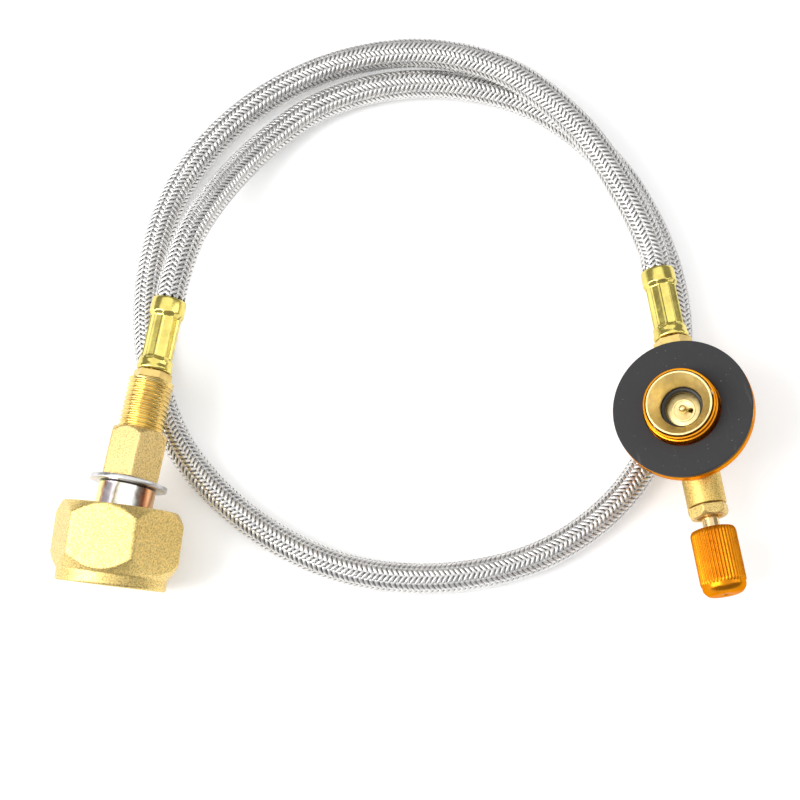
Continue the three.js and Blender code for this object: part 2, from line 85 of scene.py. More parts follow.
lamp("left_window", (-0.95, -0.25, 0.75), (0, 0, 0), 0.6, 1.2, 14)
lamp("right_fill", (1.0, 0.1, 0.6), (0, 0, 0), 0.2, 0.9, 1.5)
lamp("overhead", (-0.1, 0.15, 1.5), (0, 0, 0), 2.3, 2.3, 16)

camera_data = bpy.data.cameras.new("bench_camera")
camera_data.sensor_width = 36
camera_data.lens = 75.94
camera_data.clip_start = 0.01
camera = bpy.data.objects.new("bench_camera", camera_data)
bpy.context.collection.objects.link(camera)
camera_height = math.radians(74)
camera_reach = 0.45
camera_aim = Vector((0.0003, 0.0117, 0))
camera_line = Vector((0, -math.cos(camera_height), math.sin(camera_height)))
camera.location = camera_aim + camera_reach * camera_line
camera.rotation_euler = (-camera_line).to_track_quat("-Z", "Y").to_euler()
bpy.context.scene.camera = camera

# ---------------------------------------------------------------- where the two fittings lie
# The valve rests across the hose, leaning back on it. The cylinder fitting is propped up by its
# union nut, which hangs loose on it and stands on one edge.

MM = 0.001


def place_of(x, y, z, yaw, pitch, lean):
    turn = Matrix.Rotation(math.radians(yaw), 4, "Z")
    turn = turn @ Matrix.Rotation(math.radians(pitch), 4, "X")
    turn = turn @ Matrix.Rotation(math.radians(lean), 4, "Y")
    return Matrix.Translation((x * MM, y * MM, z * MM)) @ turn


valve_place = place_of(74.4, 2.8, 14.5, 8.6, -2, -18)
nut_origin = place_of(-70.45, -26.4, 16.14789, -10.6, 3, 0)
nut_place = nut_origin @ place_of(0, 0, 0, 3.5, 5.5, -4.5)
fitting_place = nut_origin @ place_of(0, 11.5, 0, 0, 0, 0)
valve_mouth = 41.3
fitting_mouth = 49.3

# ---------------------------------------------------------------- braided hose
# A rubber hose with a sleeve of stainless steel wire braided over it. Twelve flat bundles of
# wire wind one way and twelve the other, each over two and under two, at a steep angle.

hose_radius = 4.0
hose_straight = 5.6  # stays straight this far out of each ferrule
hose_step = 1 / 3
# The way it lies, from the valve's end: x, y, and how many diameters it is lifted off the bench.
hose_way = [
    (61, 65, 1.14),
    (48.5, 85.3, 1.12),
    (29.8, 101.6, 1.04),
    (6, 109.2, 0.64),
    (-20, 106.7, 0.1),
    (-43, 93.2, 0.01),
    (-59.5, 72.3, 0),
    (-66.8, 47, 0),
    (-65.8, 20.5, 0),
    (-56.8, -3, 0),
    (-38.4, -22.2, 0),
    (-14, -34.5, 0),
    (13, -36.8, 0),
    (38.3, -30.3, 0),
    (58.2, -15.2, 0),
    (70.4, 6.5, 0),
    (74.4, 31, 0),
    (70.3, 54.8, 0),
    (58.2, 77.9, 0),
    (38.2, 95.2, 0),
    (14.8, 102, 0),
    (-5.5, 101, 0.01),
    (-22.3, 95, 0.02),
    (-35, 85, 0.14),
    (-43.9, 73.9, 0.6),
    (-50.1, 62.6, 1.28),
    (-54.8, 51.2, 1.85),
]


def on_axis(place, y):
    return np.array((place @ Vector((0, y * MM, 0)))[:]) / MM


def smooth_line(points, steps=48):
    """A curve through the points, whose turns follow the spacing of the points."""
    line = np.vstack([2 * points[0] - points[1], points, 2 * points[-1] - points[-2]])
    share = np.linspace(0, 1, steps, endpoint=False)[:, None]
    out = []
    for a, b, c, d in zip(line, line[1:], line[2:], line[3:]):
        before, here, after = (
            math.sqrt(np.linalg.norm(q - p)) for p, q in ((a, b), (b, c), (c, d))
        )
        start = (b - a) / before - (c - a) / (before + here) + (c - b) / here
        end = (c - b) / here - (d - b) / (here + after) + (d - c) / after
        start, end = start * here, end * here
        cubic = 2 * b - 2 * c + start + end
        square = -3 * b + 3 * c - 2 * start - end
        out.append(b + start * share + square * share**2 + cubic * share**3)
    out.append(points[-1][None])
    return np.vstack(out)


def even_line(line, step):
    """The same line with its points a fixed step apart, and its length."""
    gone = np.r_[0, np.cumsum(np.linalg.norm(np.diff(line, axis=0), axis=1))]
    count = int(round(gone[-1] / step))
    at = np.linspace(0, gone[-1], count + 1)
    return np.stack([np.interp(at, gone, line[:, k]) for k in range(3)], 1), gone[-1]


def carried_frames(line):
    """Tangents, and two cross directions carried along the line without any twist."""
    along = np.gradient(line, axis=0)
    along /= np.linalg.norm(along, axis=1)[:, None]
    side = np.cross(along[0], (0, 0, 1.0))
    side /= np.linalg.norm(side)
    sides = []
    for tangent in along:
        side = side - tangent * (side @ tangent)
        side /= np.linalg.norm(side)
        sides.append(side)
    sides = np.array(sides)
    return along, sides, np.cross(along, sides)


hose_points = [on_axis(valve_place, valve_mouth), on_axis(valve_place, valve_mouth + hose_straight)]
hose_points += [np.array((x, y, hose_radius * (1 + 2 * lift))) for x, y, lift in hose_way]
hose_points += [
    on_axis(fitting_place, fitting_mouth + hose_straight),
    on_axis(fitting_place, fitting_mouth),
]
hose_line, hose_length = even_line(smooth_line(np.array(hose_points)), hose_step)


def mesh_piece(name, verts, faces, material, body="hose_and_fittings", place=None):
    """A mesh in millimetres, put in its place and made to move with its body."""
    mesh = bpy.data.meshes.new(name)
    mesh.from_pydata((np.asarray(verts) * MM).tolist(), [], faces)
    mesh.shade_smooth()
    mesh.materials.append(material)
    piece = bpy.data.objects.new(name, mesh)
    if place is not None:
        piece.matrix_world = place
    bpy.context.collection.objects.link(piece)
    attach(piece, body)
    return piece


def grid_faces(rows, columns, first=0):
    """The faces of a tube whose rings are rows and whose ring closes after all the columns."""
    row = np.arange(rows - 1)[:, None] * columns
    here = np.arange(columns)[None]
    after = (here + 1) % columns
    a, b = row + here, row + after
    return (np.stack([a, b, b + columns, a + columns], 2).reshape(-1, 4) + first).tolist()


def new_material(name):
    """An empty material and its shader."""
    material = bpy.data.materials.new(name)
    material.use_nodes = True
    return material, material.node_tree.nodes["Principled BSDF"]


def node(material, kind, values=None, links=None, **settings):
    """One shader node: its settings, the values of its sockets, and what feeds them."""
    made = material.node_tree.nodes.new(kind)
    for key, value in settings.items():
        setattr(made, key, value)
    for key, value in (values or {}).items():
        made.inputs[key].default_value = value
    for key, source in (links or {}).items():
        material.node_tree.links.new(source, made.inputs[key])
    return made


def colors_along(material, source, stops):
    """A colour ramp fed by source, from a list of (place, colour)."""
    ramp = node(material, "ShaderNodeValToRGB", links={"Fac": source})
    ramp.color_ramp.elements[0].position = stops[0][0]
    ramp.color_ramp.elements[0].color = (*stops[0][1], 1)
    ramp.color_ramp.elements[1].position = stops[-1][0]
    ramp.color_ramp.elements[1].color = (*stops[-1][1], 1)
    for place, color in stops[1:-1]:
        stop = ramp.color_ramp.elements.new(place)
        stop.color = (*color, 1)
    return ramp.outputs["Color"]


def range_of(material, source, low, high, from_low=0.3, from_high=0.7):
    """The source's middle range stretched to run from low to high."""
    values = {"From Min": from_low, "From Max": from_high, "To Min": low, "To Max": high}
    made = node(material, "ShaderNodeMapRange", values, {"Value": source})
    return made.outputs["Result"]


def noise(material, scale, detail=2.0, stretch=None):
    """Noise in the piece's own space. Scale is in grains per metre."""
    place = node(material, "ShaderNodeTexCoord").outputs["Object"]
    if stretch:
        place = node(
            material, "ShaderNodeMapping", {"Scale": stretch}, {"Vector": place}
        ).outputs["Vector"]
    values = {"Scale": scale, "Detail": detail, "Roughness": 0.6}
    return node(material, "ShaderNodeTexNoise", values, {"Vector": place}).outputs["Fac"]


def bump(material, source, strength, depth, under=None):
    links = {"Height": source}
    if under:
        links["Normal"] = under
    values = {"Strength": strength, "Distance": depth * MM}
    return node(material, "ShaderNodeBump", values, links).outputs["Normal"]


def mixed(material, amount, first, second, blend="MIX"):
    """A colour mixed by amount (a source or a number) from two colours or sources."""
    made = node(material, "ShaderNodeMix", data_type="RGBA", blend_type=blend)
    for index, value in ((0, amount), (6, first), (7, second)):
        if isinstance(value, bpy.types.NodeSocket):
            material.node_tree.links.new(value, made.inputs[index])
        elif index == 0:
            made.inputs[index].default_value = value
        else:
            made.inputs[index].default_value = (*value, 1)
    return made.outputs[2]


def feed(material, shader, **sources):
    """Joins sources to the shader's sockets; Base_Color feeds the socket Base Color."""
    for key, source in sources.items():
        socket = shader.inputs[key.replace("_", " ")]
        if isinstance(source, bpy.types.NodeSocket):
            material.node_tree.links.new(source, socket)
        else:
            socket.default_value = source


def stainless_wire():
    material, shader = new_material("stainless_wire")
    across = node(material, "ShaderNodeUVMap", uv_map="bundle").outputs["UV"]
    parts = node(material, "ShaderNodeSeparateXYZ", links={"Vector": across})
    wires = node(
        material, "ShaderNodeMath", {1: 5 * math.pi}, {0: parts.outputs["X"]}, operation="MULTIPLY"
    ).outputs[0]
    ridge = node(material, "ShaderNodeMath", links={0: wires}, operation="SINE").outputs[0]
    ridge = node(material, "ShaderNodeMath", links={0: ridge}, operation="ABSOLUTE").outputs[0]
    # Painted shade: the colour darkens in the grooves between the five wires of each bundle.
    painted_groove_shade = colors_along(material, ridge, [(0.0, (0.34, 0.335, 0.33)), (0.5, (0.93, 0.92, 0.90))])
    patches = colors_along(
        material, noise(material, 160), [(0.3, (0.86, 0.86, 0.87)), (0.7, (1.0, 1.0, 1.0))]
    )
    feed(
        material,
        shader,
        Base_Color=mixed(material, 1.0, painted_groove_shade, patches, "MULTIPLY"),
        Metallic=1.0,
        Roughness=range_of(material, noise(material, 900), 0.28, 0.4),
        Normal=bump(material, ridge, 0.5, 0.05),
    )
    return material


def dark_rubber(name, color, roughness):
    material, shader = new_material(name)
    cloud = noise(material, 350, 4)
    darker = tuple(0.6 * value for value in color)
    feed(
        material,
        shader,
        Base_Color=colors_along(material, cloud, [(0.35, darker), (0.65, color)]),
        Roughness=range_of(material, cloud, roughness - 0.06, roughness + 0.06),
        Normal=bump(material, noise(material, 2500), 0.25, 0.05),
    )
    return material


def braid():
    bundles = 12  # wound each way
    lead = 16.0  # the length in which a bundle goes once round the hose
    reach = 3.68
    bundle_width, bundle_thickness, weave_depth = 1.0, 0.2, 0.15
    along, side, up = carried_frames(hose_line)
    rows = len(hose_line)
    gone = np.linspace(0, hose_length, rows)
    across = np.array([-0.5, -0.25, 0.0, 0.25, 0.5, 0.22, -0.22]) * bundle_width
    lift = np.array([0.0, 0.8, 1.0, 0.8, 0.0, -0.55, -0.55]) * bundle_thickness
    steep = math.atan2(2 * math.pi * reach, lead)
    material = stainless_wire()
    pieces = []
    for hand, label in ((1, "right"), (-1, "left")):
        for half in (0, 1):
            verts, faces, uvs = [], [], []
            for bundle in range(half, bundles, 2):
                turn = hand * 2 * math.pi * gone / lead + 2 * math.pi * bundle / bundles
                # Which of the sleeve's lengthwise columns the bundle is in: it lies over the
                # other hand's bundles in two of every four.
                column = 2 * bundle + hand * 2 * bundles * gone / lead
                weave = hand * np.sin((column + 0.5) * math.pi / 2)
                base = reach + np.clip(1.5 * weave, -1, 1) * weave_depth
                radial = np.cos(turn)[:, None] * side + np.sin(turn)[:, None] * up
                around = -np.sin(turn)[:, None] * side + np.cos(turn)[:, None] * up
                width = around * math.cos(steep) * hand - along * math.sin(steep)
                # A flat bundle bends round the hose, so its edges come in a little.
                edge = (across[None] * math.cos(steep)) ** 2 / (2 * base[:, None])
                height = base[:, None] + lift[None] - edge
                ring = hose_line[:, None] + radial[:, None] * height[..., None]
                ring = ring + width[:, None] * across[None, :, None]
                first = len(verts) * len(across) * rows
                verts.append(ring.reshape(-1, 3))
                faces += grid_faces(rows, len(across), first)
                mark = np.zeros((rows, len(across), 2))
                mark[..., 0] = across / bundle_width + 0.5
                mark[..., 1] = gone[:, None] * 0.01
                uvs.append(mark.reshape(-1, 2))
            name = "braid_" + label + ("_odd" if half else "_even")
            piece = mesh_piece(name, np.vstack(verts), faces, material)
            layer = piece.data.uv_layers.new(name="bundle")
            corner = np.empty(len(piece.data.loops), dtype=np.int32)
            piece.data.loops.foreach_get("vertex_index", corner)
            layer.data.foreach_set("uv", np.vstack(uvs)[corner].ravel())
            pieces.append(piece)
    return pieces


def tube_under_braid():
    radius, sides, keep_every = 3.5, 24, 6
    line = hose_line[::keep_every]
    if np.linalg.norm(line[-1] - hose_line[-1]) > 0.01:
        line = np.vstack([line, hose_line[-1]])
    along, side, up = carried_frames(line)
    turn = np.arange(sides) / sides * 2 * math.pi
    ring = np.cos(turn)[None, :, None] * side[:, None] + np.sin(turn)[None, :, None] * up[:, None]
    verts = (line[:, None] + radius * ring).reshape(-1, 3)
    faces = grid_faces(len(line), sides)
    faces += [list(range(sides))[::-1], list(range(len(verts) - sides, len(verts)))]
    rubber = dark_rubber("core_rubber", (0.016, 0.015, 0.014), 0.8)
    piece = mesh_piece("hose_core", verts, faces, rubber)
    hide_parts("hose_braid")
    return piece, line


def dress(name, material):
    """The CAD piece stays as it is and only gets its finish."""
    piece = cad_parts[name]
    piece.data.materials.clear()
    piece.data.materials.append(material)


hose_core, core_line = tube_under_braid()
braid_pieces = braid()
dress("hose_liner", dark_rubber("liner_rubber", (0.02, 0.02, 0.02), 0.8))

# ---------------------------------------------------------------- crimped ferrules
# A thin brass sleeve over each end of the hose. Ten jaws squeeze its waist down on the braid
# and leave flats with narrow ridges between them; the bell at the hose end stays round.


def even_turns(sides):
    return np.arange(sides) / sides * 2 * math.pi


def turned(name, column, material, place, sides=96, upright=False, body="hose_and_fittings"):
    """A turned or milled piece. column(turn) lists (radius, height) down one side of it: a closed
    loop, or a line that starts and ends on the axis. The axis is Y, or Z when upright."""
    rings = np.array([column(turn) for turn in even_turns(sides)], dtype=float)
    on_axis_ends = rings[0, 0, 0] == 0 and rings[0, -1, 0] == 0
    turn = even_turns(sides)[:, None]
    radius, height = rings[..., 0], rings[..., 1]
    first, second = radius * np.cos(turn), radius * np.sin(turn)
    parts = (first, second, height) if upright else (first, height, second)
    verts = np.stack(parts, 2).reshape(-1, 3)
    count = rings.shape[1]
    faces = []
    for k in range(sides):
        here, after = k * count, (k + 1) % sides * count
        for i in range(count - 1 if on_axis_ends else count):
            j = (i + 1) % count
            faces.append((here + i, here + j, after + j, after + i))
    piece = mesh_piece(name, verts, faces, material, body, place)
    shape = bmesh.new()
    shape.from_mesh(piece.data)
    bmesh.ops.remove_doubles(shape, verts=shape.verts, dist=1e-7)
    bmesh.ops.dissolve_degenerate(shape, edges=shape.edges, dist=1e-8)
    bmesh.ops.recalc_face_normals(shape, faces=shape.faces)
    shape.to_mesh(piece.data)
    shape.free()
    piece.data.shade_smooth()
    crisp = piece.modifiers.new("flat_faces_stay_flat", "WEIGHTED_NORMAL")
    crisp.keep_sharp = False
    return piece


def eased(outline, ease=0.15, closed=True):
    """The outline with each corner taken off by a small round, as a deburred edge has."""
    points = [np.array(p, dtype=float) for p in outline]
    out = []
    for i, here in enumerate(points):
        if not closed and i in (0, len(points) - 1):
            out.append(tuple(here))
            continue
        before, after = points[i - 1] - here, points[(i + 1) % len(points)] - here
        to_before, to_after = np.linalg.norm(before), np.linalg.norm(after)
        first = here + before / max(to_before, 1e-9) * min(ease, 0.4 * to_before)
        last = here + after / max(to_after, 1e-9) * min(ease, 0.4 * to_after)
        out += [tuple(first), tuple(0.25 * first + 0.5 * here + 0.25 * last), tuple(last)]
    return out


def turned_marks(material, upright=False):
    """The fine rings a turning tool leaves, from the distance along and from the axis."""
    rings_per_metre = 9000
    place = node(material, "ShaderNodeTexCoord").outputs["Object"]
    parts = node(material, "ShaderNodeSeparateXYZ", links={"Vector": place})
    axis = parts.outputs["Z" if upright else "Y"]
    other = parts.outputs["Y" if upright else "Z"]
    flat = node(material, "ShaderNodeCombineXYZ", links={"X": parts.outputs["X"], "Y": other})
    away = node(material, "ShaderNodeVectorMath", links={0: flat.outputs[0]}, operation="LENGTH")
    spot = node(
        material, "ShaderNodeMath", links={0: away.outputs["Value"], 1: axis}, operation="ADD"
    )
    rings = node(
        material,
        "ShaderNodeTexNoise",
        {"Scale": rings_per_metre, "Detail": 1.0},
        {"W": spot.outputs[0]},
        noise_dimensions="1D",
    )
    return rings.outputs["Fac"]


def bright_brass(name, color, upright=False, roughness=0.16, marks=0.012):
    """Turned brass left bright, with faint tool rings and a little tarnish in patches."""
    material, shader = new_material(name)
    cloud = noise(material, 260, 3)
    tarnish = 0.75
    dull = (color[0] * tarnish, color[1] * tarnish * 0.93, color[2] * 0.7)
    rings = turned_marks(material, upright)
    fine = bump(material, noise(material, 1800, 3), 0.12, 0.03)
    feed(
        material,
        shader,
        Base_Color=colors_along(material, cloud, [(0.3, dull), (0.6, color)]),
        Metallic=1.0,
        Roughness=range_of(material, noise(material, 700, 3), roughness, roughness + 0.12),
        Normal=bump(material, rings, 0.5, marks, fine),
    )
    return material


def ferrule(name, place, stands_for, material):
    jaws, flat_reach, ridge = 10, 3.62, 0.2
    crimp_low, crimp_high, slope = 3.6, 14.5, 0.55
    heights = np.concatenate(
        [np.linspace(1.9, 6.2, 18), np.linspace(6.8, 13.2, 8), np.linspace(13.6, 16.0, 11)]
    )

    def column(turn):
        off = (turn + math.pi / jaws) % (2 * math.pi / jaws) - math.pi / jaws
        flat = flat_reach / math.cos(off)
        flat += ridge * max(0.0, abs(off) / (math.pi / jaws) - 0.72) / 0.28
        side = []
        for y in heights:
            out = max(0.0, crimp_low - y, y - crimp_high)
            crimped = flat + slope * out + 0.35 * out * out
            plain = 4.5 if y > 15.2 else 4.42
            side.append((min(crimped, plain), y))
        rim = [(2.7, 0.12), (4.2, 0.0), (4.52, 0.18), (4.64, 0.6), (4.6, 1.1), (4.42, 1.5)]
        lip = [(4.5, 16.4), (4.5, 18.7), (4.42, 19.2), (4.22, 19.4), (4.02, 19.2), (3.95, 18.6)]
        return rim + side + lip + [(3.0, 18.2), (2.7, 18.0)]

    piece = turned(name, column, material, place, sides=160)
    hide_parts(stands_for)


yellow_brass = bright_brass("yellow_brass", (0.87, 0.74, 0.20), roughness=0.13, marks=0.004)
ferrule_on_valve = valve_place @ Matrix.Translation((0, 21.6 * MM, 0))
ferrule_on_fitting = fitting_place @ Matrix.Translation((0, 29.6 * MM, 0))
ferrule("valve_ferrule", ferrule_on_valve, "valve_end_ferrule", yellow_brass)
ferrule("cylinder_ferrule", ferrule_on_fitting, "cylinder_end_ferrule", yellow_brass)

# ---------------------------------------------------------------- hose tails and their seal
# Turned brass tails whose barbs hold the hose inside the ferrules. Their hexagon collars show
# as a short bright band; a plated ring seals the one that is screwed into the valve.

tail_brass = bright_brass("tail_brass", (0.78, 0.58, 0.2), roughness=0.26)
dress("valve_end_hose_tail", tail_brass)
dress("cylinder_end_hose_tail", tail_brass)


def zinc_plate(name):
    """Bright zinc with the pale rainbow that its passivating dip leaves, run lengthwise, and with
    painted highlight and dark reflection bands, set by which way the surface faces round the tube.
    """
    material, shader = new_material(name)
    place = node(material, "ShaderNodeTexCoord").outputs["Object"]
    parts = node(material, "ShaderNodeSeparateXYZ", links={"Vector": place})
    turn = node(
        material,
        "ShaderNodeMath",
        links={0: parts.outputs["Z"], 1: parts.outputs["X"]},
        operation="ARCTAN2",
    )
    wander = range_of(material, noise(material, 90, 3), -0.16, 0.16)
    spot = node(
        material, "ShaderNodeMath", links={0: turn.outputs[0], 1: wander}, operation="ADD"
    )
    share = node(
        material,
        "ShaderNodeMapRange",
        {"From Min": 0.0, "From Max": math.pi, "To Min": 0.0, "To Max": 1.0},
        {"Value": spot.outputs[0]},
    )
    # Partly the passivating tint, partly painted highlight and reflection: near-white and dark bands
    # go round the upper side of the tube, and the lower half keeps the first colour.
    tint_and_painted_bands = [
        (0.0, (0.50, 0.34, 0.14)),
        (0.17, (0.84, 0.44, 0.22)),
        (0.26, (0.34, 0.13, 0.07)),
        (0.32, (0.24, 0.21, 0.17)),
        (0.37, (0.93, 0.92, 0.88)),
        (0.48, (0.93, 0.92, 0.88)),
        (0.53, (0.24, 0.20, 0.09)),
        (0.57, (0.95, 0.86, 0.90)),
        (0.67, (0.95, 0.86, 0.90)),
        (0.72, (0.42, 0.18, 0.10)),
        (0.77, (0.76, 0.80, 0.34)),
        (1.0, (0.70, 0.74, 0.44)),
    ]
    feed(
        material,
        shader,
        Base_Color=colors_along(material, share.outputs["Result"], tint_and_painted_bands),
        Metallic=1.0,
        Roughness=range_of(material, noise(material, 500, 3), 0.14, 0.28),
        Normal=bump(material, noise(material, 1500, 3), 0.15, 0.03),
    )
    return material


def grey_zinc(name):
    material, shader = new_material(name)
    cloud = noise(material, 300, 4)
    feed(
        material,
        shader,
        Base_Color=colors_along(
            material, cloud, [(0.35, (0.52, 0.52, 0.53)), (0.65, (0.74, 0.73, 0.72))]
        ),
        Metallic=1.0,
        Roughness=range_of(material, cloud, 0.22, 0.38),
        Normal=bump(material, noise(material, 1600, 3), 0.2, 0.03),
    )
    return material


washer_zinc = grey_zinc("washer_zinc")
dress("tail_seal", washer_zinc)

# ---------------------------------------------------------------- valve body
# A brass barrel, blasted to a fine matt grain, with a short upright stub that carries the
# canister socket. The needle runs in the barrel and gas leaves through it to the hose.


def blasted_brass(name, color, grain=3200):
    """Brass blasted with fine grit: an even sparkling grain, worn brighter in places."""
    material, shader = new_material(name)
    speck = noise(material, grain, 2)
    coarse = noise(material, grain * 0.35, 3)
    dark = tuple(0.6 * value for value in color)
    light = tuple(min(1.0, 1.2 * value) for value in color)
    shades = [(0.36, dark), (0.5, color), (0.66, light)]
    grit = bump(material, speck, 0.55, 0.09)
    feed(
        material,
        shader,
        Base_Color=colors_along(material, speck, shades),
        Metallic=1.0,
        Roughness=range_of(material, coarse, 0.36, 0.5),
        Normal=bump(material, coarse, 0.35, 0.1, grit),
    )
    return material


def put(piece, slot, *stands_for):
    """Hides these CAD pieces, which the piece stands for. The piece and the slot are not used."""
    if stands_for:
        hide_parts(*stands_for)


body_brass = blasted_brass("body_brass", (0.78, 0.55, 0.17))
barrel_line = eased(
    [(3.5, 16.8), (5.0, 16.8), (5.0, -23.6), (4.0, -23.6), (4.0, -19.6), (3.5, -19.6)], 0.3
)
barrel = turned("valve_barrel", lambda turn: barrel_line, body_brass, valve_place)
put(barrel, "sanded_brass", "valve_body")
stub_line = eased([(3.0, 2.0), (7.2, 2.0), (7.2, 6.0), (3.0, 6.0)], 0.3)
stub = turned("valve_stub", lambda turn: stub_line, body_brass, valve_place, upright=True)
put(stub, "sanded_brass")

# ---------------------------------------------------------------- base disc
# Turned aluminium, anodised gold. The boss in its middle has a groove below its lip, and a
# canister is screwed up against the rubber pad that lies on it.


def gold_anodised(name, upright, color=(0.80, 0.31, 0.015)):
    material, shader = new_material(name)
    cloud = noise(material, 420, 3)
    deep = (color[0] * 0.86, color[1] * 0.78, color[2] * 0.8)
    fine = bump(material, noise(material, 3000, 2), 0.15, 0.02)
    feed(
        material,
        shader,
        Base_Color=colors_along(material, cloud, [(0.3, deep), (0.65, color)]),
        Specular_Tint=(1.0, 0.62, 0.3, 1.0),
        Metallic=1.0,
        Roughness=range_of(material, noise(material, 900, 2), 0.24, 0.36),
        Normal=bump(material, turned_marks(material, upright), 0.4, 0.01, fine),
    )
    return material


disc_gold = gold_anodised("disc_gold", True)
disc_line = eased(
    [
        (8.6, 5.3),
        (17.4, 5.3),
        (17.7, 5.6),
        (17.7, 8.4),
        (17.4, 8.7),
        (9.4, 8.7),
        (9.4, 13.3),
        (8.95, 13.3),
        (8.95, 13.8),
        (9.1, 13.8),
        (9.1, 15.2),
        (8.6, 15.2),
    ],
    0.12,
)
disc = turned("gold_disc", lambda turn: disc_line, disc_gold, valve_place, 144, upright=True)
put(disc, "gold_anodised", "base_disc")

# ---------------------------------------------------------------- rubber pad
# A ring punched from black rubber sheet, a little smaller than the disc it lies on. Dust and
# light scuffs show on its face.


def pad_rubber():
    material, shader = new_material("pad_rubber")
    cloud = noise(material, 240, 4)
    base = colors_along(
        material, cloud, [(0.35, (0.016, 0.016, 0.018)), (0.65, (0.027, 0.027, 0.029))]
    )
    dust = noise(material, 1500, 2)
    dusty = range_of(material, dust, 0.0, 0.5, 0.7, 0.76)
    scuffs = noise(material, 500, 2, (1.0, 0.12, 1.0))
    scuffed = range_of(material, scuffs, 0.0, 0.22, 0.66, 0.74)
    color = mixed(material, dusty, base, (0.3, 0.3, 0.3))
    feed(
        material,
        shader,
        Base_Color=mixed(material, scuffed, color, (0.12, 0.12, 0.12)),
        Roughness=range_of(material, cloud, 0.62, 0.78),
        Normal=bump(material, noise(material, 2200, 3), 0.2, 0.05),
    )
    return material


pad_line = eased([(9.7, 9.0), (17.6, 9.0), (17.6, 10.6), (9.7, 10.6)], 0.25)
pad = turned("pad", lambda turn: pad_line, pad_rubber(), valve_place, 144, upright=True)
put(pad, "black_rubber", "rubber_pad")

# ---------------------------------------------------------------- threaded bush
# A turned brass bush in the boss. Its flared mouth guides the canister's neck into the thread;
# below the thread a groove holds the o-ring.


def thread(radius, depth, pitch, low, high, hand=1, inside=False, steps=8):
    """One side of a thread, as column(turn), whose groove runs out at both of its ends."""
    heights = np.linspace(low, high, max(2, int((high - low) / pitch * steps)))

    def column(turn):
        away = (heights - hand * pitch * turn / (2 * math.pi)) / pitch
        groove = 0.5 + 0.5 * np.cos(2 * math.pi * away)
        ends = np.clip(np.minimum(heights - low, high - heights) / (0.6 * pitch), 0, 1)
        cut = depth * groove * ends
        return list(zip(radius + cut if inside else radius - cut, heights))

    return column


socket_brass = bright_brass(
    "socket_brass", (0.96, 0.79, 0.38), upright=True, roughness=0.34, marks=0.02
)
socket_thread = thread(5.5, 0.36, 0.907, 10.1, 12.6, inside=True)


def bush_column(turn):
    outside = eased(
        [(4.9, 6.3), (8.3, 6.3), (8.3, 15.8), (7.8, 15.8), (5.5, 12.7)], 0.1, closed=False
    )
    groove = [(5.5, 10.02), (6.0, 10.0), (6.0, 8.3), (4.9, 8.3)]
    return outside + socket_thread(turn)[::-1] + groove


bush = turned("socket_bush", bush_column, socket_brass, valve_place, 144, upright=True)
put(bush, "bright_brass", "threaded_bush")

# ---------------------------------------------------------------- socket bottom
# A small o-ring seals on the canister's neck. The plug under it has a raised ring, a gas hole
# and, in the middle, the round-nosed pin that pushes the canister's valve open.

soft_black = dark_rubber("soft_black", (0.03, 0.03, 0.03), 0.45)


def round_section(radius, section, height, steps=16):
    turns = even_turns(steps)
    return [(radius + section * math.cos(t), height + section * math.sin(t)) for t in turns]


ring_line = round_section(5.15, 0.8, 9.15)
ring = turned("socket_oring", lambda turn: ring_line, soft_black, valve_place, upright=True)
put(ring, "black_rubber", "canister_oring")

plug_line = eased(
    [
        (0, 6.3),
        (4.4, 6.3),
        (4.4, 7.8),
        (2.95, 7.8),
        (2.95, 8.05),
        (2.45, 8.05),
        (2.45, 7.8),
        (0, 7.8),
    ],
    0.06,
    closed=False,
)
plug = turned("plug", lambda turn: plug_line, socket_brass, valve_place, 72, upright=True)
put(plug, "bright_brass", "pin_plug")


def drill(piece, x, y, radius, low, high):
    """A straight hole through the piece, along its own Z."""
    line = [(0, low), (radius, low), (radius, high), (0, high)]
    brass = piece.data.materials[0]
    bit = turned("drill_bit", lambda turn: line, brass, piece.matrix_world, sides=24, upright=True)
    bit.matrix_world = piece.matrix_world @ Matrix.Translation((x * MM, y * MM, 0))
    bpy.context.view_layer.update()
    piece.modifiers.clear()
    cut = piece.modifiers.new("hole", "BOOLEAN")
    cut.object = bit
    cut.operation = "DIFFERENCE"
    cut.solver = "EXACT"
    seen = piece.evaluated_get(bpy.context.evaluated_depsgraph_get())
    piece.data = bpy.data.meshes.new_from_object(seen)
    piece.modifiers.clear()
    bpy.data.objects.remove(bit)
    piece.modifiers.new("flat_faces_stay_flat", "WEIGHTED_NORMAL")


drill(plug, 1.75, -0.45, 0.62, 5.5, 9.0)
pin_line = [(0, 7.1), (0.9, 7.1), (0.9, 9.75), (0.84, 10.05), (0.68, 10.3), (0.42, 10.45), (0, 10.5)]
pin = turned("opening_pin", lambda turn: pin_line, socket_brass, valve_place, 40, upright=True)
put(pin, "bright_brass", "depressor_pin")

# ---------------------------------------------------------------- gland nut and packing
# A small hexagon nut, milled from brass bar, squeezes the packing round the needle's stem. Its
# outer end is chamfered and recessed.


def hexagon(turn, flats, corner):
    """How far a hexagon bar with rounded corners reaches at this turn. A corner is at turn 0."""
    off = abs((turn + math.pi / 6) % (math.pi / 3) - math.pi / 6)
    centre = (flats / 2 - corner) / math.cos(math.pi / 6)
    tangent = math.atan2(
        corner * math.sin(math.pi / 6), centre + corner * math.cos(math.pi / 6)
    )
    if off < tangent:
        return centre * math.cos(off) + math.sqrt(corner**2 - (centre * math.sin(off)) ** 2)
    return flats / 2 / math.cos(math.pi / 6 - off)


chamfer = math.tan(math.radians(55))  # how far a corner is cut back for each step out
gland_flats, gland_facing, gland_turn = 9.2, 4.45, math.radians(25)


